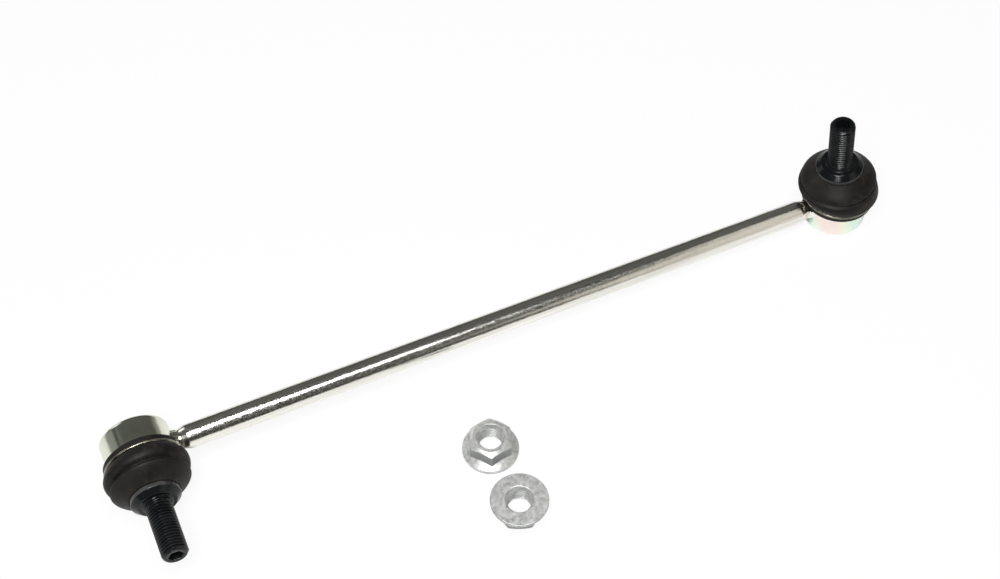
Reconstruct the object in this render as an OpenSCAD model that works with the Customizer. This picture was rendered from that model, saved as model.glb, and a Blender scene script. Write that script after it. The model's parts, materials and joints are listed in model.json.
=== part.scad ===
// Stabilizer link: a steel rod with a ball joint welded to each end, lying on a table
// beside its two flange nuts. Millimetres, +Z up, +X along the rod from end B to end A.

/* [Link] */
// Distance between the two housing axes, along the rod
link_len = 300; // [240:1:380]
// Turn of end B about the rod, against end A
twist = 90; // [80:1:100]

/* [Rod] */
// Diameter of the rod
rod_d = 9.5; // [8.5:0.1:12]
// Diameter of the turned-down neck at each end of the rod
neck_d = 7.4; // [6.4:0.1:7.6]
// Length of the neck, from the housing wall to the chamfer
neck_len = 2.1; // [2:0.1:8]
// Length of the chamfer between the rod and its neck
chamfer_len = 3; // [1:0.1:5]
// Diameter of the weld bead at the housing
bead_d = 8.8; // [8.2:0.1:9.2]
// Length of the weld bead along the neck
bead_len = 1.8; // [0.8:0.1:1.9]

/* [Housing] */
// Outside diameter of the housing
housing_d = 26.4; // [26:0.1:32]
// Wall of the housing around the ball seat
housing_wall = 2.8; // [2:0.1:3.4]
// Depth of the housing below the rod axis
housing_base = 8.4; // [8.2:0.1:11]
// Height of the housing above the rod axis
housing_top = 7.6; // [7.4:0.1:8.2]
// Radius of the rounded edge at the base of the housing
base_round = 1.5; // [0.5:0.1:2]
// Radius of the rounded edge at the top of the housing
top_round = 0.6; // [0.3:0.1:0.9]
// Thickness of the rim that is rolled over the cover plate
rim_t = 0.7; // [0.5:0.1:1]
// Width of the rolled rim over the cover plate
rim_w = 1.1; // [0.6:0.1:1.6]
// Diameter of the opening that the stud swings in
mouth_d = 17.6; // [17:0.1:18.4]
// Thickness of the lip around that opening
mouth_t = 1.5; // [1.2:0.1:1.8]
// Width of the groove that holds the boot
groove_w = 1.9; // [1.6:0.1:2.1]
// Depth of the groove that holds the boot
groove_depth = 1.2; // [0.8:0.1:1.4]

/* [Cover plate and seat] */
// Thickness of the cover plate
plate_t = 1.1; // [0.8:0.1:1.4]
// Depth of the dish pressed into the cover plate
dish_depth = 0.5; // [0.2:0.1:0.6]
// Diameter of the dish at the plate's outer face
dish_d = 16.8; // [12:0.1:18]
// Diameter of the grease hole in the seat's floor
grease_hole_d = 6; // [3:0.5:8]

/* [Ball stud] */
// Diameter of the ball
ball_d = 16; // [15:0.1:16.4]
// Height of the ball's centre above the rod axis
ball_lift = 2.2; // [1.9:0.1:2.4]
// Diameter of the stud's neck, next to the ball
stud_neck_d = 9; // [8:0.1:9.6]
// Diameter of the stud where the boot's small end sits
stud_seat_d = 13; // [12:0.1:13.6]
// Length of that seat, below the flange
stud_seat_len = 6.4; // [5:0.1:7]
// Height of the flare between the neck and the seat
flare_len = 2.5; // [1.5:0.1:3]
// Diameter of the stud's flange
flange_d = 19; // [18.4:0.1:24]
// Height of the flange's underside above the ball's centre
flange_level = 17.4; // [16.6:0.1:18.4]
// Height of the flange's upright edge
flange_edge = 1.6; // [0.6:0.1:2]
// Whole height of the flange
flange_h = 3.6; // [2.6:0.1:5]
// Diameter of the flat face that the bracket is clamped against
face_d = 14.6; // [13:0.1:17]
// Diameter of the plain collar at the root of the thread
collar_d = 11; // [10.4:0.1:12]
// Length of that collar
collar_len = 0.6; // [0.4:0.1:2]
// Nominal diameter of the stud's thread
thread_d = 10; // [8:0.5:10]
// Length of the thread, from the collar to the tip
thread_len = 22; // [16:0.1:36]
// Length of the chamfer at the tip
tip_chamfer = 0.9; // [0.5:0.1:1.5]
// Width across the flats of the hex socket in the tip
socket_af = 5; // [4:0.5:6]
// Depth of the hex socket
socket_depth = 5; // [3:0.5:8]

/* [Boot] */
// Reach of the boot's largest fold beyond the housing
fold_reach = 3.2; // [2.6:0.1:6]
// Height of the boot's bottom edge above the rod axis
lip_level = 2.4; // [2:0.1:2.8]
// Thickness of the boot's bottom lip
lip_t = 2.1; // [1.7:0.1:2.2]
// Wall of the boot's folds
boot_wall = 1.5; // [1:0.1:1.7]
// Diameter of the boot's upper end, under the flange
boot_end_d = 19.6; // [18:0.1:21]
// Wire of the clamp ring around the boot's large end
ring_wire = 1.1; // [0.9:0.1:1.3]
// Wall of the support ring in the boot's small end
support_wall = 0.85; // [0.6:0.05:1.2]

/* [Flange nuts] */
// Width across the nut's flats
nut_af = 15.5; // [14:0.5:17]
// Diameter of the nut's flange
nut_flange_d = 21.8; // [20:0.1:26]
// Height of the nut
nut_h = 9.3; // [8:0.1:12]
// Height of the flange's upright edge
nut_edge = 1.3; // [0.8:0.1:2]
// Height at which the flange's cone runs out into the hex
nut_cone = 3.4; // [2.6:0.1:5]
// Diameter of the bore, at the crests of the nut's thread
nut_bore_d = 9; // [6.6:0.1:9.2]
// Diameter of the flat ring on top of the hex
nut_top_d = 13.4; // [12:0.1:15]
// Height of the bevel on the corners of the hex
nut_bevel = 1.5; // [0.6:0.1:2]
// Depth of the countersink at both ends of the bore
nut_sink = 1.6; // [0.5:0.1:1.9]
// Diameter of the countersink at the nut's faces
nut_sink_d = 11; // [10:0.1:12]
// Place of the nut that lies hex up, from the rod's middle
nut_a_at = [-28.1, -43.9];
// Place of the nut that lies flange up, from the rod's middle
nut_b_at = [-29.5, -72.45];
// Turn of the hex of the nut that lies hex up
nut_a_turn = 8; // [0:1:60]
// Turn of the hex of the nut that lies flange up
nut_b_turn = 37; // [0:1:60]

/* [Studs at rest] */
// Lean of stud A from its housing's axis
lean_a = 7.3; // [0:0.1:15]
// Direction of that lean, from the rod
lean_dir_a = -28; // [-180:1:180]
// Lean of stud B from its housing's axis
lean_b = 2.1; // [0:0.1:15]
// Direction of that lean, from the rod
lean_dir_b = 139; // [-180:1:180]

/* [Hidden] */
// Gap between parts that lie against each other
fit_gap = 0.05;
// Gap between the boot and the parts that it turns on
boot_gap = 0.25;
// Gap between the ball and its seat
ball_gap = 0.04;
eps = 0.01;
$fn = 64;

housing_r = housing_d / 2;
mouth_r = mouth_d / 2;
ball_r = ball_d / 2;
bore_r = housing_r - housing_wall;
seat_r = bore_r - fit_gap;
plate_low = -housing_base + rim_t;
plate_top = plate_low + plate_t;
seat_low = plate_top + fit_gap;
seat_top = housing_top - mouth_t - fit_gap;
plate_ledge = 0.8;
pocket_r = bore_r + plate_ledge;
plate_r = pocket_r - fit_gap;
dish_slope = 1;
seat_chamfer = 0.5;

// Places along the stud, from the ball's centre
stud_seat_level = flange_level - stud_seat_len;
flare_level = stud_seat_level - flare_len;
collar_level = flange_level + flange_h;
thread_level = collar_level + collar_len;
tip_level = thread_level + thread_len;

// The boot's large end: lip, clamp-ring groove and the bead in the housing's groove
ring_room = 0.1;
ring_slot = ring_wire + 2 * ring_room;
slot_low = lip_level + lip_t;
slot_top = slot_low + ring_slot;
ring_level = (slot_low + slot_top) / 2;
bead_level = (lip_level + slot_top) / 2 + 0.1;
groove_r = housing_r - groove_depth;
inner_r = housing_r + boot_gap;
lip_r = inner_r + 1.35;
slot_r = inner_r + 0.6;
ring_r = slot_r + ring_room + ring_wire / 2;
bulge_r = housing_r + fold_reach;
end_r = boot_end_d / 2;
end_level = ball_lift + flange_level - 0.15;

// The boot's small end, on the support ring
support_r = stud_seat_d / 2 + fit_gap;
support_low = stud_seat_level + 1.6;
support_top = flange_level - 0.2;
end_bore_r = support_r + support_wall + fit_gap;
end_low = ball_lift + support_low;

// The link lies on the rim of housing A and on the boot of end B
pitch = asin((bulge_r - housing_base) / (link_len + housing_r - base_round));
height_a = housing_base * cos(pitch) + (housing_r - base_round) * sin(pitch);
middle_z = height_a + link_len / 2 * sin(pitch);
nut_flange_r = nut_flange_d / 2;
rod_y = -(bulge_r + nut_b_at[1] - nut_flange_r) / 2;

neck_start = housing_r + neck_len;
rod_start = neck_start + chamfer_len;

zinc = [0.78, 0.79, 0.77];
bright_zinc = [0.84, 0.85, 0.83];
black_steel = [0.13, 0.14, 0.15];
rubber = [0.17, 0.16, 0.15];
white_plastic = [0.9, 0.9, 0.87];
spring_steel = [0.5, 0.5, 0.49];

// Lays the link on the table, from a frame with the rod's middle at its origin
module lying() {
    translate([0, rod_y, middle_z])
        rotate([0, pitch, 0])
            children();
}

// An end's own frame: origin on the rod axis, Z along the housing, X towards the rod
module at_a() {
    lying()
        translate([link_len / 2, 0, 0])
            rotate([0, 0, 180])
                children();
}

module at_b() {
    lying()
        translate([-link_len / 2, 0, 0])
            rotate([twist, 0, 0])
                children();
}

// A stud's own frame within its end: origin at the ball's centre, Z towards the tip
module leaning(lean, dir) {
    translate([0, 0, ball_lift])
        rotate([0, 0, dir])
            rotate([0, lean, 0])
                rotate([0, 0, -dir])
                    children();
}

// Section of the rod along its axis, with a chamfer and a neck at each end
module rod_section() {
    half = link_len / 2;
    rod_r = rod_d / 2;
    neck_r = neck_d / 2;
    neck_end = half - housing_r / 2;
    polygon([
        [0, -neck_end],
        [neck_r, -neck_end],
        [neck_r, neck_start - half],
        [rod_r, rod_start - half],
        [rod_r, half - rod_start],
        [neck_r, half - neck_start],
        [neck_r, neck_end],
        [0, neck_end]
    ]);
}

// Space that a housing takes up at an end, for the parts that are welded to it
module housing_space() {
    translate([0, 0, -2 * housing_base])
        cylinder(h = 4 * housing_base, r = housing_r + fit_gap / 2);
}

// Room for the boot's lip over the neck, in an end's own frame
module lip_space() {
    lip_reach = lip_r + boot_gap;
    translate([0, -lip_reach, lip_level - boot_gap])
        cube([lip_reach, 2 * lip_reach, rod_d]);
}

module rod_shape() {
    difference() {
        rotate([0, 90, 0])
            rotate_extrude() rod_section();
        translate([link_len / 2, 0, 0])
            rotate([0, 0, 180]) {
                housing_space();
                lip_space();
            }
        translate([-link_len / 2, 0, 0])
            rotate([twist, 0, 0]) {
                housing_space();
                lip_space();
            }
    }
}

// Rounded weld around the neck, trimmed flat where it passes under the boot
module weld_bead_shape() {
    bead_r = bead_d / 2;
    bead_end = housing_r + bead_len;
    toe_r = neck_d / 2 + 0.2;
    hole_r = neck_d / 2 + fit_gap / 2;
    difference() {
        rotate([0, 90, 0])
            rotate_extrude()
                polygon([
                    [hole_r, housing_r / 2],
                    [bead_r, housing_r / 2],
                    [bead_r, housing_r - 0.1],
                    [toe_r, bead_end],
                    [hole_r, bead_end]
                ]);
        housing_space();
        lip_space();
    }
}

// Section of the housing: a turned cup with rounded edges, open at both ends
module housing_section() {
    body_h = housing_base + housing_top;
    difference() {
        union() {
            translate([0, -housing_base + base_round])
                square([housing_r, body_h - base_round - top_round]);
            translate([0, -housing_base])
                square([housing_r - base_round, base_round + eps]);
            translate([0, housing_top - top_round - eps])
                square([housing_r - top_round, top_round + eps]);
            translate([housing_r - base_round, -housing_base + base_round])
                circle(r = base_round);
            translate([housing_r - top_round, housing_top - top_round])
                circle(r = top_round);
        }
        translate([0, -housing_base - 1])
            square([pocket_r - rim_w, body_h / 2]);
        translate([0, plate_low])
            square([pocket_r, plate_t + fit_gap]);
        translate([0, plate_low])
            square([bore_r, housing_top - mouth_t - plate_low]);
        translate([0, 0])
            square([mouth_r, 2 * housing_top]);
        translate([groove_r, bead_level - groove_w / 2])
            square([2 * groove_depth, groove_w]);
    }
}

module housing_shape() {
    rotate_extrude() housing_section();
}

// Pressed plate behind the rolled rim, dished towards the ball
module cover_plate_shape() {
    dish_r = dish_d / 2;
    rotate_extrude()
        polygon([
            [0, plate_top],
            [plate_r, plate_top],
            [plate_r, plate_low + fit_gap],
            [dish_r, plate_low + fit_gap],
            [dish_r - dish_slope, plate_low + dish_depth],
            [0, plate_low + dish_depth]
        ]);
}

// Plastic cup that wraps the ball past its equator
module ball_seat_shape() {
    hollow_r = ball_r + ball_gap;
    seat_h = seat_top - seat_low;
    top_over_ball = seat_top - ball_lift;
    opening_r = sqrt(hollow_r * hollow_r - top_over_ball * top_over_ball);
    difference() {
        translate([0, 0, seat_low])
            cylinder(h = seat_h, r = seat_r);
        translate([0, 0, ball_lift])
            sphere(r = hollow_r);
        translate([0, 0, seat_top - seat_chamfer])
            cylinder(h = seat_chamfer + eps, r1 = opening_r, r2 = opening_r + seat_chamfer);
        translate([0, 0, seat_low - eps])
            cylinder(h = hollow_r, r = grease_hole_d / 2);
    }
}

// Section of the stud from the ball's centre to the tip
module stud_section() {
    neck_r = stud_neck_d / 2;
    boot_seat_r = stud_seat_d / 2;
    flange_r = flange_d / 2;
    collar_r = collar_d / 2;
    thread_r = thread_d / 2;
    polygon([
        [0, 0],
        [neck_r, 0],
        [neck_r, flare_level],
        [boot_seat_r, stud_seat_level],
        [boot_seat_r, flange_level],
        [flange_r, flange_level],
        [flange_r, flange_level + flange_edge],
        [face_d / 2, collar_level],
        [collar_r, collar_level],
        [collar_r, thread_level],
        [thread_r, thread_level],
        [thread_r, tip_level - tip_chamfer],
        [thread_r - tip_chamfer, tip_level],
        [0, tip_level]
    ]);
}

// Ball, neck, boot seat, flange, collar and shank in one forging
module ball_stud_shape() {
    difference() {
        union() {
            sphere(r = ball_r);
            rotate_extrude() stud_section();
        }
        translate([0, 0, tip_level - socket_depth])
            cylinder(h = socket_depth + 1, d = socket_af / cos(30), $fn = 6);
    }
}

// Smooth curve through a list of points, with n steps between each two of them
function curve_point(a, b, c, d, t) =
    0.5 * (2 * b + (c - a) * t + (2 * a - 5 * b + 4 * c - d) * t * t
        + (3 * b - a - 3 * c + d) * t * t * t);
function smooth_curve(p, n) = [
    for (i = [0 : len(p) - 2], k = [0 : n - 1])
        curve_point(p[max(i - 1, 0)], p[i], p[i + 1], p[min(i + 2, len(p) - 1)], k / n),
    p[len(p) - 1]
];

// Folds of the boot's outside, from above the clamp ring to the end under the flange
fold_low = slot_top + 0.1;
fold_h = end_level - fold_low;
boot_outside = smooth_curve([
    [lip_r + 0.1, fold_low],
    [bulge_r - 0.5, fold_low + 0.08 * fold_h],
    [bulge_r, fold_low + 0.24 * fold_h],
    [bulge_r - 0.6, fold_low + 0.39 * fold_h],
    [bulge_r - 1.9, fold_low + 0.49 * fold_h],
    [bulge_r - 1.1, fold_low + 0.59 * fold_h],
    [bulge_r - 2.3, fold_low + 0.715 * fold_h],
    [bulge_r - 4.4, fold_low + 0.85 * fold_h],
    [end_r + 0.6, end_level - 0.6],
    [end_r, end_level]
], 3);

// Inside of the boot, back down from the small end to the bead in the housing's groove
boot_inside = concat(
    [[end_bore_r, end_level], [end_bore_r, end_low]],
    smooth_curve([
        [end_r - 0.4, end_low + 0.2],
        [bulge_r - 4.6 - boot_wall, fold_low + 0.74 * fold_h],
        [bulge_r - 2.6 - boot_wall, fold_low + 0.52 * fold_h],
        [bulge_r - 0.5 - boot_wall, fold_low + 0.34 * fold_h],
        [inner_r + 0.1, housing_top + 0.1],
        [inner_r, bead_level + groove_w / 2 + 0.3]
    ], 2),
    [
        [inner_r - 0.1, bead_level + groove_w / 2 - boot_gap / 2],
        [groove_r + boot_gap, bead_level + groove_w / 2 - boot_gap],
        [groove_r + boot_gap, bead_level - groove_w / 2 + boot_gap],
        [inner_r - 0.1, bead_level - groove_w / 2 + boot_gap / 2],
        [inner_r, lip_level + 0.3]
    ]
);

boot_large_end = [
    [inner_r + 0.25, lip_level],
    [lip_r - 0.4, lip_level],
    [lip_r, lip_level + 0.35],
    [lip_r, slot_low - 0.1],
    [slot_r, slot_low],
    [slot_r, slot_top]
];
boot_section = concat(boot_large_end, boot_outside, boot_inside);

// Share of the stud's lean that the boot follows at a height, smooth from 0 to 1
function lean_share(z) =
    let (t = min(1, max(0, (z - slot_top) / (end_low - slot_top))))
    t * t * (3 - 2 * t);

// Outward bulge of the folds at a height, where the lean presses them together, at most
// the rate times the lean
bulge_rate = 0.09;
function bulge(z, lean) =
    let (t = min(1, max(0, (z - housing_top) / (end_low - housing_top))))
    27 / 4 * bulge_rate * lean * t * (1 - t) * (1 - t);

// Point turned about the ball's centre by an angle, towards the direction dir
function leaned(p, angle, dir) =
    let (k = [-sin(dir), cos(dir), 0], q = p - [0, 0, ball_lift])
    q * cos(angle) + cross(k, q) * sin(angle) + k * (k * q) * (1 - cos(angle)) + [0, 0, ball_lift];

// Rubber bellows: the section is carried round and bent over with the stud
module boot_shape(lean, dir) {
    sides = 40;
    m = len(boot_section);
    points = [
        for (s = [0 : sides - 1], p = boot_section)
            let (a = 360 * s / sides, r = p[0] + bulge(p[1], lean) * cos(a - dir))
            leaned([r * cos(a), r * sin(a), p[1]], lean * lean_share(p[1]), dir)
    ];
    faces = [
        for (s = [0 : sides - 1], i = [0 : m - 1])
            let (t = (s + 1) % sides, j = (i + 1) % m)
            each [
                [s * m + i, s * m + j, t * m + j],
                [s * m + i, t * m + j, t * m + i]
            ]
    ];
    polyhedron(points, faces, convexity = 6);
}

module boot_ring_shape() {
    translate([0, 0, ring_level])
        rotate_extrude()
            translate([ring_r, 0])
                circle(r = ring_wire / 2);
}

module support_ring_shape() {
    translate([0, 0, support_low])
        difference() {
            cylinder(h = support_top - support_low, r = support_r + support_wall);
            translate([0, 0, -1])
                cylinder(h = support_top - support_low + 2, r = support_r);
        }
}

// Hex with bevelled corners on a conical flange, with a countersunk bore
module flange_nut_shape() {
    corner_r = nut_af / 2 / cos(30);
    top_r = nut_top_d / 2;
    bevel_slope = nut_bevel / (corner_r - top_r);
    hole_r = nut_bore_d / 2;
    sink_r = nut_sink_d / 2;
    sink_slope = (sink_r - hole_r) / nut_sink;
    difference() {
        union() {
            rotate_extrude()
                polygon([
                    [0, 0],
                    [nut_flange_r, 0],
                    [nut_flange_r, nut_edge],
                    [nut_af / 2, nut_cone],
                    [0, nut_cone]
                ]);
            intersection() {
                cylinder(h = nut_h, r = corner_r, $fn = 6);
                rotate_extrude()
                    polygon([
                        [0, 0],
                        [corner_r + 1, 0],
                        [corner_r + 1, nut_h - nut_bevel - bevel_slope],
                        [top_r, nut_h],
                        [0, nut_h]
                    ]);
            }
        }
        rotate_extrude()
            polygon([
                [0, -1],
                [sink_r + sink_slope, -1],
                [hole_r, nut_sink],
                [hole_r, nut_h - nut_sink],
                [sink_r + sink_slope, nut_h + 1],
                [0, nut_h + 1]
            ]);
    }
}

module rod() { color(bright_zinc) lying() rod_shape(); }
module housing_a() { color(zinc) at_a() housing_shape(); }
module housing_b() { color(zinc) at_b() housing_shape(); }
module weld_bead_a() { color(zinc) at_a() weld_bead_shape(); }
module weld_bead_b() { color(zinc) at_b() weld_bead_shape(); }
module cover_plate_a() { color(zinc) at_a() cover_plate_shape(); }
module cover_plate_b() { color(zinc) at_b() cover_plate_shape(); }
module ball_seat_a() { color(white_plastic) at_a() ball_seat_shape(); }
module ball_seat_b() { color(white_plastic) at_b() ball_seat_shape(); }
module ball_stud_a() { color(black_steel) at_a() leaning(lean_a, lean_dir_a) ball_stud_shape(); }
module ball_stud_b() { color(black_steel) at_b() leaning(lean_b, lean_dir_b) ball_stud_shape(); }
module boot_a() { color(rubber) at_a() boot_shape(lean_a, lean_dir_a); }
module boot_b() { color(rubber) at_b() boot_shape(lean_b, lean_dir_b); }
module boot_ring_a() { color(spring_steel) at_a() boot_ring_shape(); }
module boot_ring_b() { color(spring_steel) at_b() boot_ring_shape(); }
module support_ring_a() { color(spring_steel) at_a() leaning(lean_a, lean_dir_a) support_ring_shape(); }
module support_ring_b() { color(spring_steel) at_b() leaning(lean_b, lean_dir_b) support_ring_shape(); }

module flange_nut_a() {
    color(zinc)
        translate([nut_a_at[0], rod_y + nut_a_at[1], 0])
            rotate([0, 0, nut_a_turn])
                flange_nut_shape();
}

module flange_nut_b() {
    color(zinc)
        translate([nut_b_at[0], rod_y + nut_b_at[1], nut_h])
            rotate([180, 0, nut_b_turn])
                flange_nut_shape();
}

rod();
housing_a();
housing_b();
weld_bead_a();
weld_bead_b();
cover_plate_a();
cover_plate_b();
ball_seat_a();
ball_seat_b();
ball_stud_a();
ball_stud_b();
boot_a();
boot_b();
boot_ring_a();
boot_ring_b();
support_ring_a();
support_ring_b();
flange_nut_a();
flange_nut_b();
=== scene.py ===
import json

import bpy
import numpy as np
from mathutils import Matrix


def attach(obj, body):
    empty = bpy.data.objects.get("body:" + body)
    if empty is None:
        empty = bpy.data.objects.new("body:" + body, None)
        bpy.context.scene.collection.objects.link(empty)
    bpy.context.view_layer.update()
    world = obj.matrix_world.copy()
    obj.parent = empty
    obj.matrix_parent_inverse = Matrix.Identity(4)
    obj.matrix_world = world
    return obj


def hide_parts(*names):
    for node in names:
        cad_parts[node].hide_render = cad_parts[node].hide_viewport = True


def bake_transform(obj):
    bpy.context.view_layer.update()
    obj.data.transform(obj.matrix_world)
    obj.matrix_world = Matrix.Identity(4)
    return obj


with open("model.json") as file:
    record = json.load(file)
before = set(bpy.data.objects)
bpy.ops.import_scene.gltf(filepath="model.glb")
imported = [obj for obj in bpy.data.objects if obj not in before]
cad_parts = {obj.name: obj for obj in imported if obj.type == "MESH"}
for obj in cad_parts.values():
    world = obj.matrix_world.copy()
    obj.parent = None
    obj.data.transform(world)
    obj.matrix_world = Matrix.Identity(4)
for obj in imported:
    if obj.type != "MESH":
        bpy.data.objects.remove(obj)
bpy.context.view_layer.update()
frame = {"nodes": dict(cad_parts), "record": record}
joints = {j["name"]: j for j in frame["record"]["behaviour"]["joints"]}
mounts = {m["name"]: m for m in frame["record"]["mounts"]}
print("frame loaded:", len(frame["nodes"]), "nodes")

# millimetres, measured from the rod axis along each housing, or from the ball along each stud
ballLift = 2.2
lipLevel = 2.4
clearUnderLip = 0.25
housingRadius = 13.2
creaseAngle = 34  # degrees: edges that turn further shade sharp


def unit(v):
    return np.asarray(v, float) / np.linalg.norm(v)


def eased(t):  # smooth step: three t squared less two t cubed
    return t * t * (3 - 2 * t)


def bent(a, b, c, t):  # quadratic curve from a to c, drawn towards b
    return (1 - t) ** 2 * a + 2 * t * (1 - t) * b + t ** 2 * c


def around(count):  # angles of one turn, as a row
    return np.linspace(0, 2 * np.pi, count, endpoint=False)[None, :]


# an end's frame: origin on the rod axis, columns of axes are x to the rod, y, z along the housing
def endFrames():
    axisZ = {e: unit(joints["lean_turn_" + e]["axis"]) for e in "ab"}
    ball = {e: np.array(joints["lean_turn_" + e]["pos_m"]) * 1000 for e in "ab"}
    origin = {e: ball[e] - ballLift * axisZ[e] for e in "ab"}
    frames = {}
    for e, other in (("a", "b"), ("b", "a")):
        axisX = unit(origin[other] - origin[e])
        frames[e] = {
            "origin": origin[e],
            "axes": np.stack([axisX, np.cross(axisZ[e], axisX), axisZ[e]], axis=1),
            "ball": ball[e],
            "spin": unit(joints["stud_spin_" + e]["axis"]),
            "tilt": unit(joints["stud_lean_" + e]["axis"]),
        }
    return frames


# turns points about an axis through the origin: v cos + (k x v) sin + k (k.v)(1 - cos)
def turnedAbout(points, axis, angle):
    c, s = np.cos(angle)[..., None], np.sin(angle)[..., None]
    return points * c + np.cross(axis, points) * s + axis * (points @ axis)[..., None] * (1 - c)


ends = endFrames()
for e in ends.values():
    e["lean"] = float(np.arccos(np.clip(e["axes"][:, 2] @ e["spin"], -1, 1)))
    e["studAxes"] = turnedAbout(e["axes"].T, e["tilt"], np.full(3, e["lean"])).T
print("leans at rest, degrees:", [round(float(np.degrees(e["lean"])), 2) for e in ends.values()])


# each corner of a profile becomes a quadratic curve that starts and ends its radius away,
# with a holding point just before and after it so that flat faces shade flat
def roundedProfile(corners, steps=6, hold=0.06):
    data = np.array(corners, float)
    p, r = data[:, :2], data[:, 2:3]
    back, ahead = np.roll(p, 1, 0) - p, np.roll(p, -1, 0) - p
    back[0] = ahead[-1] = 0
    lenBack = np.maximum(np.linalg.norm(back, axis=1, keepdims=True), 1e-9)
    lenAhead = np.maximum(np.linalg.norm(ahead, axis=1, keepdims=True), 1e-9)
    dirBack, dirAhead = back / lenBack, ahead / lenAhead
    a, b = p + dirBack * r, p + dirAhead * r
    t = np.linspace(0, 1, steps)[None, :, None]
    curve = bent(a[:, None], p[:, None], b[:, None], t)
    before, after = (a + dirBack * hold)[:, None], (b + dirAhead * hold)[:, None]
    line = np.concatenate([before, curve, after], axis=1).reshape(-1, 2)
    step = np.linalg.norm(np.diff(line, axis=0), axis=1)
    return line[np.concatenate([[True], step > 1e-6])]


# smooth curve through points: uniform Catmull-Rom, n steps between each two of them
def curveThrough(points, n):
    p = np.asarray(points, float)
    q = np.concatenate([p[:1], p, p[-1:]])
    a, b, c, d = q[:-3, None], q[1:-2, None], q[2:-1, None], q[3:, None]
    t = (np.arange(n) / n)[None, :, None]
    squared, cubed = 2 * a - 5 * b + 4 * c - d, 3 * b - a - 3 * c + d
    line = 0.5 * (2 * b + (c - a) * t + squared * t ** 2 + cubed * t ** 3)
    return np.concatenate([line.reshape(-1, p.shape[1]), p[-1:]])


# surface of revolution: x = r cos, y = r sin, z = height; r and height are rows by columns
def revolve(radius, height, columns):
    angle = around(columns)
    radius, height = np.broadcast_arrays(radius, height + 0 * angle)
    return np.stack([radius * np.cos(angle), radius * np.sin(angle), height], axis=2)


def placed(grid, origin, axes):  # origin plus each local part times its axis
    return grid @ np.asarray(axes).T + np.asarray(origin)


# grid of points, closed round its columns; loop also closes its rows, otherwise both ends get a pole
def gridPiece(name, grid, material, slot, loop=False, **values):
    rows, cols = grid.shape[:2]
    index = np.arange(rows * cols).reshape(rows, cols)
    low, high = (index, np.roll(index, -1, 0)) if loop else (index[:-1], index[1:])
    quads = np.stack([low, np.roll(low, -1, 1), np.roll(high, -1, 1), high], axis=2).reshape(-1, 4)
    points = grid.reshape(-1, 3) / 1000
    values = {k: np.broadcast_to(v, (rows, cols)).reshape(-1) for k, v in values.items()}
    tris = np.zeros((0, 3), int)
    if not loop:
        points = np.concatenate([points, grid[[0, -1]].mean(axis=1) / 1000])
        values = {k: np.concatenate([v, v[[0, -1]]]) for k, v in values.items()}
        first, last, n = index[0], index[-1], rows * cols
        tris = np.concatenate([
            np.stack([np.roll(first, -1), first, np.full(cols, n)], axis=1),
            np.stack([last, np.roll(last, -1), np.full(cols, n + 1)], axis=1),
        ])
    a, b, c, d = (points[quads[:, k]] for k in range(4))
    volume = np.sum(a * np.cross(b, c)) + np.sum(a * np.cross(c, d))
    a, b, c = (points[tris[:, k]] for k in range(3))
    volume += np.sum(a * np.cross(b, c))
    if volume < 0:  # faces look outwards
        quads, tris = quads[:, ::-1], tris[:, ::-1]
    mesh = bpy.data.meshes.new(name)
    mesh.vertices.add(len(points))
    mesh.vertices.foreach_set("co", points.astype(np.float32).ravel())
    mesh.loops.add(quads.size + tris.size)
    mesh.loops.foreach_set("vertex_index", np.concatenate([quads.ravel(), tris.ravel()]).astype(np.int32))
    mesh.polygons.add(len(quads) + len(tris))
    starts = np.concatenate([np.arange(len(quads)) * 4, quads.size + np.arange(len(tris)) * 3])
    mesh.polygons.foreach_set("loop_start", starts.astype(np.int32))
    mesh.polygons.foreach_set("use_smooth", np.ones(len(starts), bool))
    mesh.update(calc_edges=True)
    for key, value in values.items():
        mesh.attributes.new(key, "FLOAT", "POINT").data.foreach_set("value", value.astype(np.float32))
    mesh.set_sharp_from_angle(angle=np.radians(creaseAngle))
    mesh.materials.append(material)
    piece = bpy.data.objects.new(name, mesh)
    bpy.context.scene.collection.objects.link(piece)
    return piece


threadForm = {"crest": 0.07, "flank": 0.36, "soft": 0.25}  # shares of the pitch, and of ease in the flank


# ISO thread: 0 on the crest, 1 in the root, straight flanks between a flat crest and a wider root
def threadDepth(angle, height, pitch):
    form = threadForm
    fromCrest = np.abs((height / pitch - angle / (2 * np.pi) + 0.5) % 1 - 0.5) * pitch
    down = np.clip((fromCrest - pitch * form["crest"]) / (pitch * form["flank"]), 0, 1)
    return (1 - form["soft"]) * down + form["soft"] * eased(down)


# hexagon in polar form: half the flats' width over the cosine of the angle to the nearest flat,
# with the corners taken off by a soft minimum
def hexRadius(angle, flats, corner, power=60):
    toFlat = angle % (np.pi / 3) - np.pi / 6
    sharp = flats / 2 / np.cos(toFlat)
    return (sharp ** -power + corner ** -power) ** (-1 / power)


def newFinish(name, **sockets):  # shader with its fixed values on its own sockets
    material = bpy.data.materials.new(name)
    material.use_nodes = True
    tree = material.node_tree
    shader = next(n for n in tree.nodes if n.type == "BSDF_PRINCIPLED")
    for key, value in sockets.items():
        shader.inputs[key.replace("_", " ")].default_value = value
    return material, tree, shader


def addNode(tree, kind, values=None, **settings):  # values go on sockets, settings on the node
    node = tree.nodes.new(kind)
    for key, value in settings.items():
        setattr(node, key, value)
    for key, value in (values or {}).items():
        node.inputs[key].default_value = value
    return node


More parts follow.
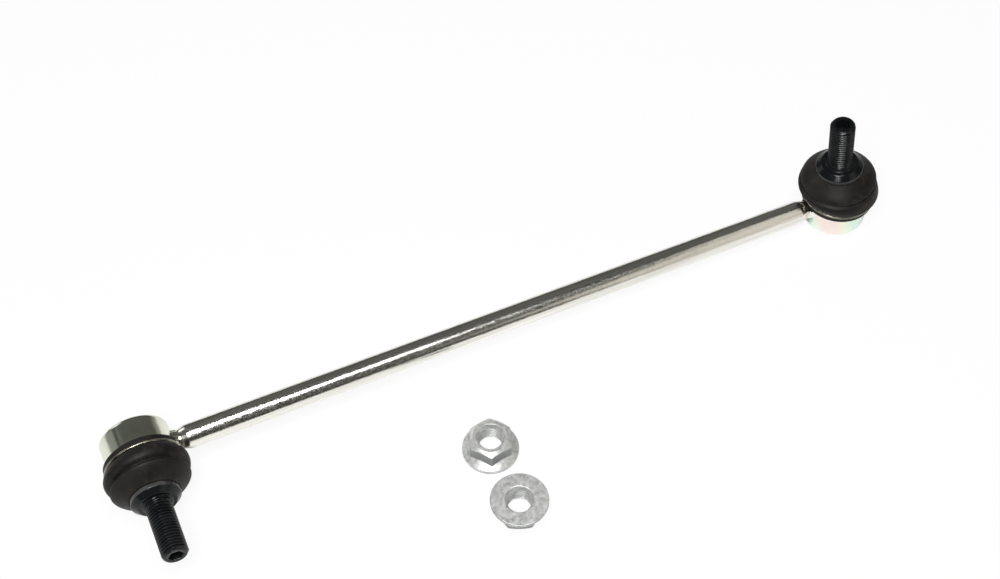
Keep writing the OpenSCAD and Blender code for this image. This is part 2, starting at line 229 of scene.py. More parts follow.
# noise on Object coordinates that are stretched along the axes and then turned
def objectNoise(tree, scale, detail, rough, stretch=(1, 1, 1), turn=(0, 0, 0)):
    coord = addNode(tree, "ShaderNodeTexCoord")
    mapping = addNode(tree, "ShaderNodeMapping", {"Rotation": turn, "Scale": stretch})
    noise = addNode(tree, "ShaderNodeTexNoise", {"Scale": scale, "Detail": detail, "Roughness": rough})
    tree.links.new(coord.outputs["Object"], mapping.inputs["Vector"])
    tree.links.new(mapping.outputs["Vector"], noise.inputs["Vector"])
    return noise.outputs["Fac"]


def readValue(tree, attribute):  # one value from the surface
    return addNode(tree, "ShaderNodeAttribute", attribute_name=attribute).outputs["Fac"]


def lineNoise(tree, attribute, scale, detail):  # rings: noise of one value of the surface
    noise = addNode(tree, "ShaderNodeTexNoise", {"Scale": scale, "Detail": detail}, noise_dimensions="1D")
    tree.links.new(readValue(tree, attribute), noise.inputs["W"])
    return noise.outputs["Fac"]


def ramp(tree, source, stops):  # colours at their places along a value
    node = addNode(tree, "ShaderNodeValToRGB")
    elements = node.color_ramp.elements
    while len(elements) < len(stops):
        elements.new(0.5)
    for element, (place, colour) in zip(elements, stops):
        element.position = place
        element.color = (*colour, 1)
    tree.links.new(source, node.inputs["Fac"])
    return node.outputs["Color"]


def spread(tree, source, low, high, fromLow=0.3, fromHigh=0.7):  # one range of values onto another
    limits = {"From Min": fromLow, "From Max": fromHigh, "To Min": low, "To Max": high}
    node = addNode(tree, "ShaderNodeMapRange", limits)
    tree.links.new(source, node.inputs["Value"])
    return node.outputs["Result"]


def blendColour(tree, factor, first, second):  # first to second by a fixed or a drawn factor
    node = addNode(tree, "ShaderNodeMix", data_type="RGBA")
    if isinstance(factor, float):
        node.inputs[0].default_value = factor
    else:
        tree.links.new(factor, node.inputs[0])
    for socket, value in ((node.inputs[6], first), (node.inputs[7], second)):
        if isinstance(value, tuple):
            socket.default_value = (*value, 1)
        else:
            tree.links.new(value, socket)
    return node.outputs[2]


# joins a finish to its shader; layers are (height, strength, distance in metres), each on the one before
def dress(tree, shader, colour, rough, layers):
    tree.links.new(colour, shader.inputs["Base Color"])
    tree.links.new(rough, shader.inputs["Roughness"])
    normal = None
    for height, strength, distance in layers:
        bump = addNode(tree, "ShaderNodeBump", {"Strength": strength, "Distance": distance})
        tree.links.new(height, bump.inputs["Height"])
        if normal is not None:
            tree.links.new(normal, bump.inputs["Normal"])
        normal = bump.outputs["Normal"]
    tree.links.new(normal, shader.inputs["Normal"])


rodLook = {"dark": (0.68, 0.672, 0.61), "light": (0.89, 0.88, 0.83), "roughness": (0.13, 0.25)}


def rodFinish():  # drawn bar under zinc: long streaks, a slow wave and fine pits
    material, tree, shader = newFinish("rodZinc", Metallic=1.0)
    turn = (0, -float(np.arctan2(ends["a"]["axes"][2, 0], -ends["a"]["axes"][0, 0])), 0)
    streaks = objectNoise(tree, 1.0, 4.0, 0.6, (14, 900, 900), turn)
    pits = objectNoise(tree, 1150.0, 3.0, 0.65)
    wave = objectNoise(tree, 130.0, 2.0, 0.5, (0.6, 1.6, 1.6), turn)
    tone = ramp(tree, streaks, [(0.3, rodLook["dark"]), (0.62, rodLook["light"])])
    rough = spread(tree, pits, *rodLook["roughness"], 0.38, 0.62)
    dress(tree, shader, tone, rough, [(wave, 0.25, 0.0004), (streaks, 0.18, 0.0001), (pits, 0.2, 0.0001)])
    return material


housingLook = {"dark": (0.62, 0.65, 0.53), "light": (0.70, 0.73, 0.61), "pink": (0.99, 0.82, 0.80),
               "green": (0.74, 0.96, 0.85), "straw": (0.98, 0.96, 0.80), "clear": (0.92, 0.93, 0.91),
               "film": {"a": 0.75, "b": 0.12}, "roughness": (0.13, 0.21)}


def housingFinish(tag):  # zinc with a faint film whose colours run round the cup
    material, tree, shader = newFinish("housingZinc" + tag.upper(), Metallic=1.0)
    rings = lineNoise(tree, "along", 9.0, 3.0)
    cloud = objectNoise(tree, 120.0, 3.0, 0.6)
    look = housingLook
    tone = ramp(tree, cloud, [(0.3, look["dark"]), (0.62, look["light"])])
    film = ramp(tree, readValue(tree, "film"), [
        (0.02, look["clear"]), (0.1, look["green"]), (0.24, look["pink"]), (0.42, look["pink"]),
        (0.58, look["straw"]), (0.78, look["green"]), (0.95, look["clear"]),
    ])
    colour = blendColour(tree, look["film"][tag], tone, film)
    rough = spread(tree, cloud, *look["roughness"])
    dress(tree, shader, colour, rough, [(rings, 0.08, 0.00008), (cloud, 0.02, 0.0002)])
    return material


coverLook = {"dark": (0.50, 0.51, 0.47), "light": (0.74, 0.75, 0.71), "roughness": (0.24, 0.4)}


def coverFinish():  # cloudy zinc with faint rings about the middle
    material, tree, shader = newFinish("coverZinc", Metallic=1.0)
    cloud = objectNoise(tree, 210.0, 4.0, 0.6)
    rings = lineNoise(tree, "along", 3.0, 2.0)
    tone = ramp(tree, cloud, [(0.3, coverLook["dark"]), (0.65, coverLook["light"])])
    rough = spread(tree, cloud, *coverLook["roughness"])
    dress(tree, shader, tone, rough, [(rings, 0.06, 0.0001), (cloud, 0.1, 0.0002)])
    return material


bootLook = {"deep": (0.0055, 0.0052, 0.0049), "worn": (0.0155, 0.0138, 0.0118), "dust": (0.040, 0.035, 0.028),
            "roughness": (0.46, 0.62)}


def bootFinish():  # black rubber, worn in clouds and dusty in patches
    material, tree, shader = newFinish("bootRubber", Specular_IOR_Level=0.16)
    cloud = objectNoise(tree, 75.0, 4.0, 0.6)
    grain = objectNoise(tree, 1500.0, 2.0, 0.5)
    patch = objectNoise(tree, 190.0, 3.0, 0.65)
    tone = ramp(tree, cloud, [(0.34, bootLook["deep"]), (0.62, bootLook["worn"])])
    dusty = spread(tree, patch, 0.0, 0.55, 0.52, 0.78)
    colour = blendColour(tree, dusty, tone, bootLook["dust"])
    rough = spread(tree, cloud, *bootLook["roughness"])
    dress(tree, shader, colour, rough, [(patch, 0.12, 0.0004), (grain, 0.12, 0.00006)])
    return material


ringLook = {"dark": (0.15, 0.14, 0.115), "light": (0.40, 0.38, 0.31), "roughness": (0.24, 0.42)}


def ringFinish():  # dull spring wire
    material, tree, shader = newFinish("springWire", Metallic=1.0)
    cloud = objectNoise(tree, 260.0, 3.0, 0.6)
    tone = ramp(tree, cloud, [(0.32, ringLook["dark"]), (0.66, ringLook["light"])])
    rough = spread(tree, cloud, *ringLook["roughness"])
    dress(tree, shader, tone, rough, [(cloud, 0.1, 0.0001)])
    return material


# crest is the light grey of worn thread crests and tip, and also of the painted highlight round the flange
# rim
studLook = {"coat": (0.0035, 0.004, 0.0045), "grey": (0.009, 0.010, 0.011), "crest": (0.11, 0.11, 0.108),
            "roughness": (0.12, 0.18)}


def studFinish():  # black coat, made light grey in broken patches where the wear-and-highlight value is high: worn thread crests and tip, and a painted highlight round the flange rim
    material, tree, shader = newFinish("blackSteel", Specular_IOR_Level=0.2)
    cloud = objectNoise(tree, 170.0, 4.0, 0.6)
    grain = objectNoise(tree, 2100.0, 2.0, 0.5)
    tone = ramp(tree, cloud, [(0.34, studLook["coat"]), (0.66, studLook["grey"])])
    broken = addNode(tree, "ShaderNodeMath", operation="MULTIPLY")
    tree.links.new(readValue(tree, "rub"), broken.inputs[0])
    tree.links.new(spread(tree, cloud, 0.25, 1.0, 0.35, 0.6), broken.inputs[1])
    colour = blendColour(tree, broken.outputs[0], tone, studLook["crest"])
    rough = spread(tree, grain, *studLook["roughness"])
    dress(tree, shader, colour, rough, [(cloud, 0.08, 0.0002), (grain, 0.15, 0.00004)])
    return material


# side is the colour of painted shade on the hex sides, the flange's upright edge and the bore's thread roots
nutLook = {"dark": (0.42, 0.42, 0.395), "mid": (0.62, 0.63, 0.62), "light": (0.78, 0.79, 0.785),
           "side": (0.16, 0.17, 0.17), "roughness": (0.38, 0.5)}


def nutFinish():  # mottled zinc, with painted shade where the painted-shade value is high: the hex sides, the flange's upright edge and the bore's thread roots
    material, tree, shader = newFinish("nutZinc", Metallic=0.7, Specular_IOR_Level=0.4)
    cloud = objectNoise(tree, 520.0, 5.0, 0.68)
    spots = objectNoise(tree, 1300.0, 2.0, 0.5)
    tone = ramp(tree, cloud, [(0.30, nutLook["dark"]), (0.47, nutLook["mid"]), (0.66, nutLook["light"])])
    colour = blendColour(tree, readValue(tree, "dull"), tone, nutLook["side"])
    rough = spread(tree, cloud, *nutLook["roughness"])
    dress(tree, shader, colour, rough, [(cloud, 0.16, 0.0002), (spots, 0.12, 0.00006)])
    return material


seatLook = {"dark": (0.74, 0.74, 0.70), "light": (0.86, 0.86, 0.83), "metallic": 0.0,
            "roughness": (0.39, 0.51)}
supportLook = {"dark": (0.40, 0.40, 0.38), "light": (0.58, 0.58, 0.56), "metallic": 1.0,
               "roughness": (0.29, 0.41)}


def innerFinish(name, look):  # cloudy tone for the pieces inside the joint
    material, tree, shader = newFinish(name, Metallic=look["metallic"])
    cloud = objectNoise(tree, 300.0, 3.0, 0.6)
    tone = ramp(tree, cloud, [(0.3, look["dark"]), (0.7, look["light"])])
    dress(tree, shader, tone, spread(tree, cloud, *look["roughness"]), [(cloud, 0.06, 0.0001)])
    return material


finishes = {
    "rod": rodFinish(), "housingA": housingFinish("a"), "housingB": housingFinish("b"),
    "cover": coverFinish(), "boot": bootFinish(), "ring": ringFinish(), "stud": studFinish(),
    "nut": nutFinish(), "seat": innerFinish("seatPlastic", seatLook),
    "support": innerFinish("supportSteel", supportLook),
}
print("finishes made:", ", ".join(finishes))

rodShape = {"radius": 4.75, "neck": 3.7, "neckStart": 15.3, "rodStart": 18.3, "neckEnd": 12.0, "round": 0.7,
            "saddleEnd": 15.05}


def makeRod():  # bar along the line between the ends, waisted at both, with a saddle under each boot's lip
    a, b = ends["a"], ends["b"]
    length = np.linalg.norm(a["origin"] - b["origin"])
    s = rodShape
    half = roundedProfile([
        (s["neck"], s["neckEnd"], 0), (s["neck"], s["neckStart"], 0.5),
        (s["radius"], s["rodStart"], s["round"]), (s["radius"], s["rodStart"] + 4, 0),
    ])
    fine = np.stack([np.full(24, s["neck"]), np.linspace(s["neckEnd"], s["neckStart"] - 0.6, 24)], axis=1)
    half = np.concatenate([fine, half[half[:, 1] > fine[-1, 1] + 0.01]])
    other = half[::-1] * (1, -1) + (0, length)
    straight = np.linspace(s["rodStart"] + 6, length - s["rodStart"] - 6, 40)
    middle = np.stack([np.full(40, s["radius"]), straight], axis=1)
    profile = np.concatenate([half, middle, other])
    grid = revolve(profile[:, :1], profile[:, 1:], 96)
    axisX = unit(a["origin"] - b["origin"])
    axes = np.stack([b["axes"][:, 1], b["axes"][:, 2], axisX], axis=1)
    world = placed(grid, b["origin"], axes)
    for e in (a, b):  # flat under the lip
        local = (world - e["origin"]) @ e["axes"]
        under = local[..., 0] < s["saddleEnd"]
        local[..., 2] = np.where(under, np.minimum(local[..., 2], lipLevel - clearUnderLip), local[..., 2])
        world = np.where(under[..., None], placed(local, e["origin"], e["axes"]), world)
    piece = gridPiece("rodBar", world, finishes["rod"], "rod_zinc")
    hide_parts("rod")
    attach(piece, "link")


housingShape = {"base": 8.4, "top": 7.6, "baseRound": 1.5, "topRound": 0.5, "rimHole": 10.1, "rim": 0.7,
                "pocket": 11.2, "bore": 10.4, "mouth": 8.8, "lip": 6.1, "plate": 1.15,
                "grooveLow": 3.25, "grooveTop": 5.15, "groove": 12.0}


def makeHousing(tag):  # turned cup: closed section carried round the housing axis
    s = housingShape
    r = housingRadius
    base, rimTop = -s["base"], -s["base"] + s["rim"]
    plateTop = rimTop + s["plate"]
    section = roundedProfile([
        (s["bore"], 0, 0), (s["bore"], plateTop, 0.05), (s["pocket"], plateTop, 0.05),
        (s["pocket"], rimTop, 0.05), (s["rimHole"], rimTop, 0.1), (s["rimHole"], base, 0.3),
        (r, base, s["baseRound"]), (r, s["grooveLow"], 0.1), (s["groove"], s["grooveLow"], 0.1),
        (s["groove"], s["grooveTop"], 0.1), (r, s["grooveTop"], 0.1), (r, s["top"], s["topRound"]),
        (s["mouth"], s["top"], 0.3), (s["mouth"], s["lip"], 0.1), (s["bore"], s["lip"], 0.1),
        (s["bore"], 0.1, 0),
    ])
    grid = revolve(section[:, :1], section[:, 1:], 128)
    along = section[:, 1:] + 0.7 * section[:, :1]
    angle = around(128)
    # runs from 0 to 1 and back round the cup, with a slight wave
    film = 0.5 - 0.5 * np.cos(angle + 0.5 + 0.12 * np.sin(5 * angle) + 0.03 * section[:, 1:])
    piece = gridPiece("housing" + tag.upper(), placed(grid, ends[tag]["origin"], ends[tag]["axes"]),
                      finishes["housing" + tag.upper()], "housing_zinc", loop=True, along=along, film=film)
    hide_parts("housing_" + tag)
    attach(piece, "link")


coverShape = {"outer": 11.1, "low": -7.65, "top": -6.6, "dish": 8.4, "floor": -7.2, "slope": 1.0,
              "pole": 0.02}


def makeCover(tag):  # pressed disc with a dished middle
    s = coverShape
    section = roundedProfile([
        (s["pole"], s["top"], 0), (s["outer"], s["top"], 0.15), (s["outer"], s["low"], 0.2),
        (s["dish"], s["low"], 0.35), (s["dish"] - s["slope"], s["floor"], 0.45),
        (s["pole"], s["floor"], 0),
    ])
    grid = revolve(section[:, :1], section[:, 1:], 96)
    piece = gridPiece("coverPlate" + tag.upper(), placed(grid, ends[tag]["origin"], ends[tag]["axes"]),
                      finishes["cover"], "cover_zinc", along=section[:, :1])
    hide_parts("cover_plate_" + tag)
    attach(piece, "link")


beadShape = {"inner": 3.6, "wall": 4.4, "toe": 3.85, "length": 1.75, "sunk": 0.4, "ripple": 0.06,
             "ripples": 15}


def makeBead(tag):  # rippled weld ring, coped to the housing: x = sqrt(R^2 - y^2) + its own length
    s = beadShape
    angle = around(120)
    section = roundedProfile([
        (s["inner"], -s["sunk"], 0), (s["wall"], -s["sunk"], 0.1), (s["wall"], 0.1, 0.1),
        (s["toe"], s["length"], 0.2), (s["inner"], s["length"], 0.05),
    ], hold=0.02)
    ripple = s["ripple"] * np.sin(s["ripples"] * angle + 0.7 * np.sin(3 * angle))
    radius = section[:, :1] + ripple * (section[:, :1] > s["inner"] + 0.1)
    y, z = radius * np.cos(angle), radius * np.sin(angle)
    start = np.sqrt(housingRadius ** 2 - y ** 2)
    x = start + section[:, 1:] * (housingRadius + s["length"] - start) / s["length"]
    z = np.minimum(z, lipLevel - clearUnderLip - 0.001 * (radius - s["inner"]))
    grid = placed(np.stack([x, y, z], axis=2), ends[tag]["origin"], ends[tag]["axes"])
    piece = gridPiece("weldBead" + tag.upper(), grid, finishes["housing" + tag.upper()], "housing_zinc",
                      loop=True, along=x, film=0.0)
    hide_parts("weld_bead_" + tag)
    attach(piece, "link")


studShape = {"ball": 8.0, "ballArc": (162, 34.5), "neck": 4.5, "neckLow": 6.7, "flare": 8.5, "seatLow": 11.0,
             "seat": 6.5, "flangeLow": 17.4, "flange": 9.5, "edge": 1.6, "faceLevel": 21.0, "face": 7.3,
             "collar": 5.5, "threadLow": 21.6, "tip": 43.6, "thread": 5.0, "pitch": 1.25, "depth": 0.76,
             "tipChamfer": 0.9, "socket": 5.0, "socketCorner": 2.85, "socketDepth": 5.0, "rimHighlight": 0.55,
             "crestRub": 0.1, "tipRub": 0.06}


def makeStud(tag):  # ball, neck, flange, helical thread, chamfered tip and hex socket in one grid
    s = studShape
    angle = around(96)
    flat = 0 * angle
    polar = np.radians(np.linspace(*s["ballArc"], 26))  # from the low flat up to the neck
    ball = np.stack([s["ball"] * np.sin(polar), s["ball"] * np.cos(polar)], axis=1)
    lower = roundedProfile([
        (s["neck"], s["neckLow"], 0), (s["neck"], s["flare"], 0.5), (s["seat"], s["seatLow"], 0.5),
        (s["seat"], s["flangeLow"], 0.2), (s["flange"], s["flangeLow"], 0.22),
        (s["flange"], s["flangeLow"] + s["edge"], 0.3), (s["face"], s["faceLevel"], 0.35),
        (s["collar"] + 0.3, s["faceLevel"], 0.25), (s["collar"], s["threadLow"] - 0.1, 0.1),
        (s["thread"] - 0.25, s["threadLow"], 0),
    ])
    turned = np.concatenate([ball, lower])
    height = np.linspace(s["threadLow"] + 0.05, s["tip"] - s["tipChamfer"], 340)[:, None]
    fade = np.clip((height - s["threadLow"]) / 0.9, 0.25, 1)  # thread runs out at the collar
    cut = threadDepth(angle, height, s["pitch"]) * fade
    threaded = s["thread"] - s["depth"] * cut
    tipHeight = np.linspace(s["tip"] - s["tipChamfer"] + 0.06, s["tip"] - 0.05, 14)[:, None]
    cone = s["thread"] - (tipHeight - s["tip"] + s["tipChamfer"])
    tipRadius = np.minimum(cone, s["thread"] - s["depth"] * threadDepth(angle, tipHeight, s["pitch"]))
    hexagon = hexRadius(angle, s["socket"], s["socketCorner"])
    edge, tip = s["thread"] - s["tipChamfer"], s["tip"]
    deep = tip - s["socketDepth"]
    mouth = [
        (edge - 0.12 + flat, tip), (edge - 0.4 + flat, tip), (hexagon + 0.28, tip - 0.01),
        (hexagon + 0.12, tip - 0.08), (hexagon, tip - 0.3), (hexagon, tip - 0.4), (hexagon, deep + 0.2),
        (hexagon * 0.96, deep), (hexagon * 0.3, deep - 0.4),
    ]
    mouthRadius = np.concatenate([r for r, _ in mouth])
    mouthHeight = np.array([h for _, h in mouth])[:, None]
    radius = np.concatenate([turned[:, :1] + flat, threaded, tipRadius, mouthRadius])
    level = np.concatenate([turned[:, 1:], height, tipHeight, mouthHeight]) + flat
    grid = np.stack([radius * np.cos(angle), radius * np.sin(angle), level], axis=2)
    # painted highlight: a thin lighter line round the flange rim; the thread crests and the tip are lighter
    # by wear
    onRim = s["rimHighlight"] * np.exp(-((turned[:, :1] - s["flange"]) / 0.1) ** 2) + flat
    onCrest = s["crestRub"] * np.clip(1 - cut * 2.2, 0, 1) * fade
    rub = np.concatenate([onRim, onCrest, np.full(tipRadius.shape, s["tipRub"]), np.zeros(mouthRadius.shape)])
    piece = gridPiece("ballStud" + tag.upper(), placed(grid, ends[tag]["ball"], ends[tag]["studAxes"]),
                      finishes["stud"], "black_steel", rub=rub)
    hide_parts("ball_stud_" + tag)
    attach(piece, "stud_" + tag)


bootShape = {"lip": 14.8, "inner": 13.45, "slotLow": 4.5, "slotTop": 5.8, "slot": 14.05, "bulge": 16.38,
             "end": 9.8, "endLevel": 19.45, "endBore": 7.45, "endLow": 14.8, "squeezeLow": 7.6,
             "squeeze": 0.09, "groove": 12.25, "beadLow": 3.55, "beadTop": 4.9, "oval": 0.10,
             "flutes": 0.06, "rise": 0.22,
             "phase": {"a": 0.4, "b": 2.1},
             "dents": {  # angle, level, depth, width in degrees, height
                 "a": [(70, 12.7, 0.25, 30, 0.7)],
                 "b": [(148, 12.6, 1.1, 24, 1.0), (80, 12.5, 0.4, 35, 0.6)],
             }}


# moulded bellows: closed section carried round, made a little uneven, then leaned with the stud by a share
# that grows from the clamp to the small end
def makeBoot(tag):
    s, end = bootShape, ends[tag]
    phase = s["phase"][tag]
    low, top, wide = s["slotTop"] + 0.1, s["endLevel"], s["bulge"]
    tall = top - low
    large = roundedProfile([
        (s["inner"] + 0.25, lipLevel, 0), (s["lip"], lipLevel, 0.45), (s["lip"], s["slotLow"], 0.25),
        (s["slot"], s["slotLow"] + 0.05, 0.15), (s["slot"], s["slotTop"], 0.15), (s["lip"] + 0.05, low, 0),
    ])
    folds = curveThrough([
        (s["lip"] + 0.1, low), (wide - 0.5, low + 0.08 * tall), (wide, low + 0.24 * tall),
        (wide - 0.6, low + 0.39 * tall), (wide - 2.0, low + 0.49 * tall), (wide - 1.1, low + 0.59 * tall),
        (wide - 2.3, low + 0.715 * tall), (wide - 4.4, low + 0.85 * tall), (s["end"] + 0.6, top - 0.6),
        (s["end"], top),
    ], 8)
    inside = curveThrough([
        (s["endBore"], top), (s["endBore"], s["endLow"]), (s["end"] - 0.4, s["endLow"] + 0.2),
        (wide - 6.1, low + 0.74 * tall), (wide - 4.1, low + 0.52 * tall), (wide - 2.0, low + 0.34 * tall),
        (s["inner"] + 0.1, 7.7), (s["inner"], 5.5), (s["groove"], s["beadTop"]), (s["groove"], s["beadLow"]),
        (s["inner"], lipLevel + 0.3),
    ], 3)
    section = np.concatenate([large, folds, inside])
    radius, level = section[:, :1], section[:, 1:]
    angle = around(144)
    share = eased(np.clip((level - s["slotTop"]) / (s["endLow"] - s["slotTop"]), 0, 1))
    t = np.clip((level - s["squeezeLow"]) / (s["endLow"] - s["squeezeLow"]), 0, 1)
    toLean = end["spin"] @ end["axes"]
    towards = np.cos(angle - np.arctan2(toLean[1], toLean[0]))
    squeezed = s["squeeze"] * np.degrees(end["lean"])
    press = squeezed * 27 / 4 * t * (1 - t) ** 2 * towards  # bulges where the lean shortens it
    soft = 4 * t * (1 - t)
    waves = s["oval"] * (np.sin(2 * angle + phase) - 1) + s["flutes"] * (np.sin(5 * angle + 1.7) - 1)
    dent = np.zeros_like(press)
    for at, dentLevel, depth, width, high in s["dents"][tag]:
        away = (angle - np.radians(at) + np.pi) % (2 * np.pi) - np.pi
        dent += depth * np.exp(-(away / np.radians(width)) ** 2 - ((level - dentLevel) / high) ** 2)
    rise = soft * s["rise"] * np.sin(3 * angle + phase)
    grid = revolve(radius + press + soft * waves - dent, level + rise, 144)
    world = (grid - (0, 0, ballLift)) @ end["axes"].T
    world = turnedAbout(world, end["tilt"], end["lean"] * share + 0 * angle) + end["ball"]
    piece = gridPiece("boot" + tag.upper(), world, finishes["boot"], "boot_rubber", loop=True)
    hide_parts("boot_" + tag)
    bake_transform(piece)


ringShape = {"radius": 14.7, "wire": 0.55, "level": 5.15}


def makeRing(tag):  # round wire: centre circle with a small circle carried round it
    s = ringShape
    turn = around(20).T
    grid = revolve(s["radius"] + s["wire"] * np.cos(turn), s["level"] + s["wire"] * np.sin(turn), 144)
    piece = gridPiece("bootRing" + tag.upper(), placed(grid, ends[tag]["origin"], ends[tag]["axes"]),
                      finishes["ring"], "spring_steel", loop=True)
    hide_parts("boot_ring_" + tag)
    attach(piece, "boot_" + tag)


# paintedSideShade: how much painted shade the hex sides and the flange's upright edge get
nutShape = {"flats": 15.5, "height": 9.3, "flange": 10.89, "edge": 1.3, "cone": 3.4, "top": 6.7, "bevel": 1.5,
            "bore": 4.5, "sink": 1.6, "sinkWide": 1.0, "pitch": 1.25, "depth": 0.55, "paintedSideShade": 0.75,
            "cornerCut": 1.003,
            "lie": {"a": (8.0, 1), "b": (37.0, -1)}}  # turn of the hex, and 1 for hex up or -1 for flange up


def makeNut(tag):  # conical flange, bevelled hexagon and threaded bore as one ring-shaped grid
    s = nutShape
    angle = around(144)
    flat = 0 * angle
    corner = s["flats"] / 2 / np.cos(np.pi / 6)
    hexagon = hexRadius(angle, s["flats"], corner * s["cornerCut"])
    coneSlope = (s["cone"] - s["edge"]) / (s["flange"] - s["flats"] / 2)
    bevelSlope = s["bevel"] / (corner - s["top"])

    def coneAt(r):
        return s["edge"] + (s["flange"] - r) * coneSlope

    def bevelAt(r):
        return s["height"] - (r - s["top"]) * bevelSlope

    sinkEdge = s["bore"] + s["sinkWide"]
    base = roundedProfile([
        (s["bore"] + 0.1, s["sink"] - 0.1, 0), (sinkEdge, 0, 0.2), (s["flange"], 0, 0.25),
        (s["flange"], s["edge"], 0.35), (s["flange"] - 1.1, coneAt(s["flange"] - 1.1), 0),
    ])
    t = np.linspace(0, 1, 6)[:, None]
    foot, head = coneAt(hexagon), bevelAt(hexagon)
    coneRadius = (s["flange"] - 1.2) * (1 - t) + (hexagon + 0.32) * t
    filletRadius = hexagon + 0.3 * (1 - t) ** 2
    filletLevel = bent(coneAt(hexagon + 0.3), foot, foot + 0.3, t)
    sideLevel = (foot + 0.36) * (1 - t) + (head - 0.2) * t
    roundRadius = hexagon - 0.16 * t ** 2
    roundLevel = bent(head - 0.16, head, bevelAt(hexagon - 0.16), t)
    bevelRadius = (hexagon - 0.2) * (1 - t) + (s["top"] + 0.25) * t
    crown = roundedProfile([
        (s["top"] + 0.2, bevelAt(s["top"] + 0.2), 0), (s["top"], s["height"], 0.15),
        (sinkEdge, s["height"], 0.15), (s["bore"] + 0.1, s["height"] - s["sink"] + 0.1, 0),
    ], hold=0.03)
    boreLevel = np.linspace(s["height"] - s["sink"], s["sink"], 110)[:, None]
    fade = np.clip(np.minimum(boreLevel - s["sink"], s["height"] - s["sink"] - boreLevel) / 0.5, 0, 1)
    # the cut depth shapes the bore's thread and also sets its painted shade, darkest in the roots
    cut = threadDepth(angle, boreLevel, s["pitch"]) * fade
    # painted shade on the low half of the flange's upright edge, on the hex sides and on the rounds beside
    # them
    onRim = (base[:, 1:] < s["edge"] / 2) & (base[:, :1] > s["flange"] - 0.1)
    side = s["paintedSideShade"]
    bands = [  # radius, level and painted shade: base, cone, fillet, sides, round, bevel, crown, bore
        (base[:, :1], base[:, 1:], side * onRim), (coneRadius, coneAt(coneRadius), 0 * t),
        (filletRadius, filletLevel, side * t), (hexagon + 0 * t, sideLevel, side + 0 * t),
        (roundRadius, roundLevel, side * (1 - t) ** 2), (bevelRadius, bevelAt(bevelRadius), 0 * t),
        (crown[:, :1], crown[:, 1:], 0 * crown[:, :1]), (s["bore"] + s["depth"] * cut, boreLevel, cut),
    ]
    radius, level, dull = (np.concatenate([band[k] + flat for band in bands]) for k in range(3))
    grid = np.stack([radius * np.cos(angle), radius * np.sin(angle), level - s["height"] / 2], axis=2)
    turn, up = s["lie"][tag]
    c, n = np.cos(np.radians(turn)), np.sin(np.radians(turn))
    axes = np.array([[c, -n * up, 0], [n, c * up, 0], [0, 0, up]])
    centre = np.array(mounts["nut_thread_" + tag]["pos_m"]) * 1000
    piece = gridPiece("flangeNut" + tag.upper(), placed(grid, centre, axes), finishes["nut"], "nut_zinc",
                      loop=True, dull=dull)
    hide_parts("flange_nut_" + tag)
    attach(piece, "nut_" + tag)


def dressInner(tag):  # the CAD pieces that stay get their finishes
    for name, look in (("ball_seat_", "seat"), ("support_ring_", "support")):
        materials = frame["nodes"][name + tag].data.materials
        materials.clear()
        materials.append(finishes[look])


makeRod()
for tag in "ab":
    makeHousing(tag)
    makeCover(tag)
    makeBead(tag)
    makeStud(tag)
    makeBoot(tag)
    makeRing(tag)
    makeNut(tag)
    dressInner(tag)

stage = {"floorSize": 6.0, "floorDrop": 0.0002, "floorTone": (0.86, 0.86, 0.86), "floorSeen": 0.91,
         "floorMirrored": 0.12, "roomTone": (0.034, 0.033, 0.029), "skyTone": (0.97, 0.97, 0.97),
         "skySeen": 1.0, "skyMirrored": 0.018}


# plain shader with white over it: one share on camera rays, another on glossy and transmission rays
def whiteOver(tree, output, plain, white, seen, mirrored):
    path = addNode(tree, "ShaderNodeLightPath")
    direct = addNode(tree, "ShaderNodeMath", {1: seen}, operation="MULTIPLY")
    bounced = addNode(tree, "ShaderNodeMath", operation="MAXIMUM")
    bouncedShare = addNode(tree, "ShaderNodeMath", {1: mirrored}, operation="MULTIPLY")
    either = addNode(tree, "ShaderNodeMath", operation="MAXIMUM")
    mix = addNode(tree, "ShaderNodeMixShader")
    tree.links.new(path.outputs["Is Camera Ray"], direct.inputs[0])
    tree.links.new(path.outputs["Is Glossy Ray"], bounced.inputs[0])
    tree.links.new(path.outputs["Is Transmission Ray"], bounced.inputs[1])
    tree.links.new(bounced.outputs[0], bouncedShare.inputs[0])
    tree.links.new(direct.outputs[0], either.inputs[0])
    tree.links.new(bouncedShare.outputs[0], either.inputs[1])
    tree.links.new(either.outputs[0], mix.inputs["Fac"])
    tree.links.new(plain.outputs[0], mix.inputs[1])
    tree.links.new(white.outputs[0], mix.inputs[2])
    tree.links.new(mix.outputs[0], output.inputs["Surface"])


def makeFloor():  # pale square that stays white to the camera and keeps a soft shadow
    half = stage["floorSize"] / 2
    corners = [(-half, -half, 0), (half, -half, 0), (half, half, 0), (-half, half, 0)]
    mesh = bpy.data.meshes.new("floor")
    mesh.from_pydata(corners, [], [(0, 1, 2, 3)])
    floor = bpy.data.objects.new("floor", mesh)
    floor.location.z = -stage["floorDrop"]
    bpy.context.scene.collection.objects.link(floor)
    material = bpy.data.materials.new("paleFloor")
    material.use_nodes = True
    tree = material.node_tree
    tree.nodes.clear()
    output = addNode(tree, "ShaderNodeOutputMaterial")
    paint = addNode(tree, "ShaderNodeBsdfDiffuse", {"Color": (*stage["floorTone"], 1)})
    glow = addNode(tree, "ShaderNodeEmission", {"Color": (1, 1, 1, 1), "Strength": 1.0})
    whiteOver(tree, output, paint, glow, stage["floorSeen"], stage["floorMirrored"])
    mesh.materials.append(material)


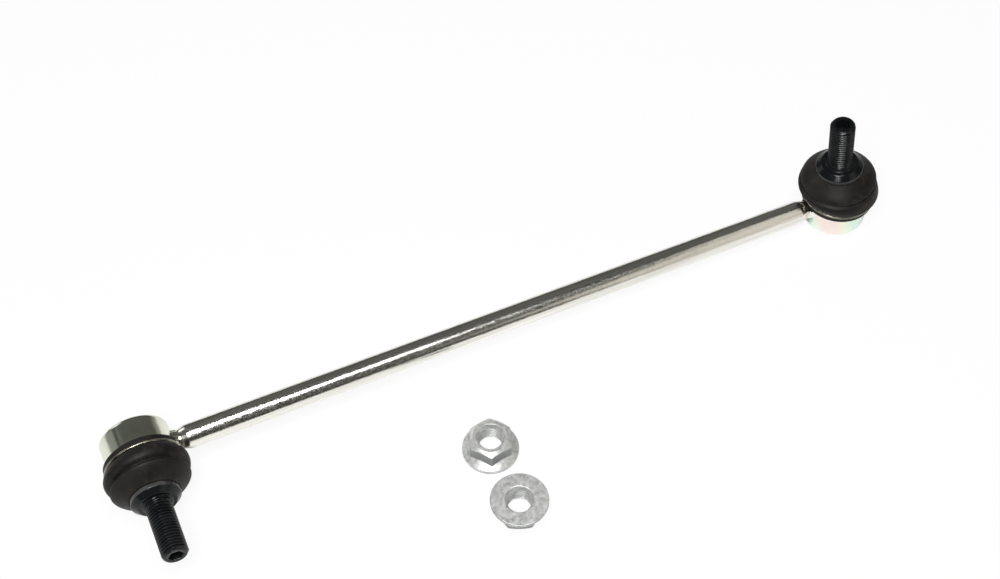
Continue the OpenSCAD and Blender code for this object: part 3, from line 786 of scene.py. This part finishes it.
def makeWorld():  # dim room for the light, white to low views that look past the floor
    world = bpy.data.worlds.new("studio")
    world.use_nodes = True
    tree = world.node_tree
    tree.nodes.clear()
    output = addNode(tree, "ShaderNodeOutputWorld")
    room = addNode(tree, "ShaderNodeBackground", {"Color": (*stage["roomTone"], 1), "Strength": 1.0})
    sky = addNode(tree, "ShaderNodeBackground", {"Color": (*stage["skyTone"], 1), "Strength": 1.0})
    whiteOver(tree, output, room, sky, stage["skySeen"], stage["skyMirrored"])
    bpy.context.scene.world = world


# columns are side, up and back, then the place: a lamp or camera looks against back
def standing(side, back, place):
    return Matrix(np.column_stack([side, np.cross(back, side), back, place]).tolist() + [[0, 0, 0, 1]])


lamps = {
    "overhead": {"at": (-0.16, -0.19, 0.95), "aim": (-0.16, -0.08, 0), "size": (0.62, 0.22), "power": 6.0},
    "keyLeft": {"at": (-0.34, -0.44, 0.95), "aim": (0, 0, 0.02), "size": (0.32, 0.32), "power": 7.0},
    "overRight": {"at": (0.83, -0.84, 0.85), "aim": (0.83, -0.84, 0), "size": (0.76, 1.74), "power": 2.7,
                  "colour": (1, 0.95, 0.87)},
    "lowRight": {"at": (1.1, -1.72, 0.42), "aim": (1.1, 0, 0.42), "size": (0.9, 0.84), "power": 1.7,
                 "colour": (1, 0.95, 0.87)},
    "leftCard": {"at": (-1.25, 0.3, 0.32), "aim": (0, 0, 0.05), "size": (1.1, 0.55), "power": 0.5},
    "rightCard": {"at": (1.3, 0.4, 0.2), "aim": (0, 0, 0.05), "size": (1.1, 0.32), "power": 0.3},
    "backLeft": {"at": (-0.7, 1.0, 0.5), "aim": (0, 0, 0.02), "size": (0.5, 0.5), "power": 1.0},
    "backWall": {"at": (0.2, 1.3, 1.3), "aim": (0, 0, 0), "size": (4.0, 2.2), "power": 1.5},
}


def makeLamps():  # area lamps, each turned to its aim
    for name, s in lamps.items():
        light = bpy.data.lights.new(name, "AREA")
        light.shape, light.energy = "RECTANGLE", s["power"]
        light.size, light.size_y = s["size"]
        light.color = s.get("colour", (1, 1, 1))
        lamp = bpy.data.objects.new(name, light)
        back = unit(np.array(s["at"]) - np.array(s["aim"]))
        side = unit(np.cross((0, 1, 0) if abs(back[2]) > 0.9 else (0, 0, 1), back))
        lamp.matrix_world = standing(side, back, s["at"])
        bpy.context.scene.collection.objects.link(lamp)


cameraSet = {"target": (0.00634, 0.05545, 0.0), "heading": 24.85, "elevation": 54.752, "distance": 0.67975,
             "lens": 60.3, "sensor": 36.0}


def makeCamera():  # stands back from the target along the line of sight
    s = cameraSet
    head, lift = np.radians(s["heading"]), np.radians(s["elevation"])
    ahead = np.array([np.sin(head) * np.cos(lift), np.cos(head) * np.cos(lift), -np.sin(lift)])
    side = np.array([np.cos(head), -np.sin(head), 0.0])
    data = bpy.data.cameras.new("camera")
    data.sensor_fit, data.sensor_width, data.lens = "HORIZONTAL", s["sensor"], s["lens"]
    data.clip_start, data.clip_end = 0.01, 50.0
    camera = bpy.data.objects.new("camera", data)
    place = np.array(s["target"]) - ahead * s["distance"]
    camera.matrix_world = standing(side, -ahead, place)
    bpy.context.scene.collection.objects.link(camera)
    bpy.context.scene.camera = camera


makeFloor()
makeWorld()
makeLamps()
makeCamera()
bpy.context.scene.view_settings.view_transform = "Standard"
print("stage, lamps and camera set")
